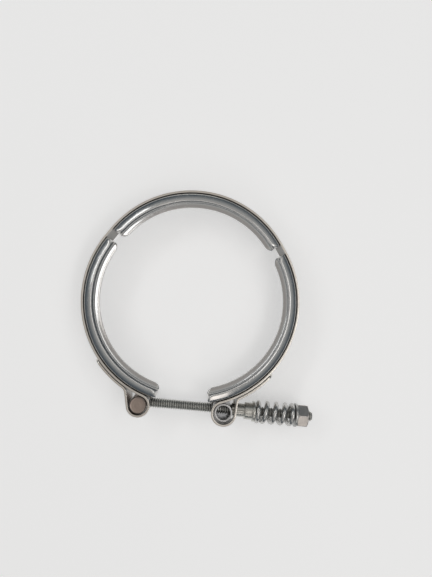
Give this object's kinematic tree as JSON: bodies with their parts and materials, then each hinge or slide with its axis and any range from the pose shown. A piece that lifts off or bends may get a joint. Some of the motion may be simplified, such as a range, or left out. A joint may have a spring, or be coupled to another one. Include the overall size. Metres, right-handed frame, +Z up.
{
  "type": "v-band turbo clamp",
  "caption": "V-band clamp ring of stainless steel: V-section segments inside a strap whose looped ends are drawn together by a T-bolt with a spring and a nut.",
  "frame": {"origin": "on the axis of the flange joint that the clamp closes around, at the plane of the lower lips, on which the clamp lies", "axes": "+Z up along the flange joint's axis; +Y towards the crown, opposite the gap; +X along the bolt towards its nut"},
  "size_m": [0.1114, 0.1061, 0.018],
  "materials": {
    "segment_steel": "polished stainless steel sheet with faint rolling lines",
    "strap_steel": "bright stainless steel strip with sheared edges",
    "barrel_steel": "turned steel, dull face",
    "bolt_steel": "rolled thread, bright",
    "tube_steel": "drawn tube, bright",
    "seat_steel": "turned steel, bright",
    "spring_steel": "bright drawn wire",
    "washer_steel": "stamped, bright",
    "nut_steel": "machined, bright"
  },
  "bodies": {
    "crown": {"crown_segment": "segment_steel", "outer_strap": "strap_steel"},
    "left_arm": {"left_segment": "segment_steel"},
    "right_arm": {"right_segment": "segment_steel"},
    "t_bolt": {"bolt_barrel": "barrel_steel", "threaded_rod": "bolt_steel"},
    "trunnion": {"trunnion_tube": "tube_steel"},
    "spring_pack": {"spring_seat": "seat_steel", "spring": "spring_steel"},
    "washer": {"washer": "washer_steel"},
    "nut": {"hex_nut": "nut_steel"}
  },
  "joints": [
    {"name": "left_arm_flex", "type": "hinge", "parent": "crown", "child": "left_arm", "pos_m": [-0.04012, 0.02468, 0.009], "axis": [0, 0, 1], "range_deg": [-0.8, 4.8], "deforming": ["outer_strap"]},
    {"name": "right_arm_flex", "type": "hinge", "parent": "crown", "child": "right_arm", "pos_m": [0.04012, 0.02468, 0.009], "axis": [0, 0, 1], "range_deg": [-4.8, 0.8], "deforming": ["outer_strap"]},
    {"name": "t_bolt_pivot", "type": "hinge", "parent": "left_arm", "child": "t_bolt", "pos_m": [-0.01941, -0.05213, 0.009], "axis": [0, 0, 1], "range_deg": [-4.8, 0.8]},
    {"name": "trunnion_pivot", "type": "hinge", "parent": "right_arm", "child": "trunnion", "pos_m": [0.01941, -0.05213, 0.009], "axis": [0, 0, 1], "range_deg": [-0.8, 4.8]},
    {"name": "spring_pack_travel", "type": "slide", "parent": "t_bolt", "child": "spring_pack", "axis": [1, 0, 0], "range_m": [-0.0128, 0.0022]},
    {"name": "spring_squeeze", "type": "slide", "parent": "spring_pack", "child": "washer", "axis": [-1, 0, 0], "range_m": [0, 0.006], "deforming": ["spring"]},
    {"name": "nut_turn", "type": "hinge", "parent": "washer", "child": "nut", "pos_m": [0.05683, -0.05213, 0.009], "axis": [-1, 0, 0], "range_deg": [0, 2042]}
  ],
  "couplings": [
    {"joint": "right_arm_flex", "follows": "left_arm_flex", "ratio": -1},
    {"joint": "t_bolt_pivot", "follows": "left_arm_flex", "ratio": -1},
    {"joint": "trunnion_pivot", "follows": "left_arm_flex", "ratio": 1},
    {"joint": "spring_pack_travel", "follows": "left_arm_flex", "m_per_rad": -0.1517},
    {"joint": "nut_turn", "follows": "spring_squeeze", "rad_per_m": 5938.7}
  ]
}
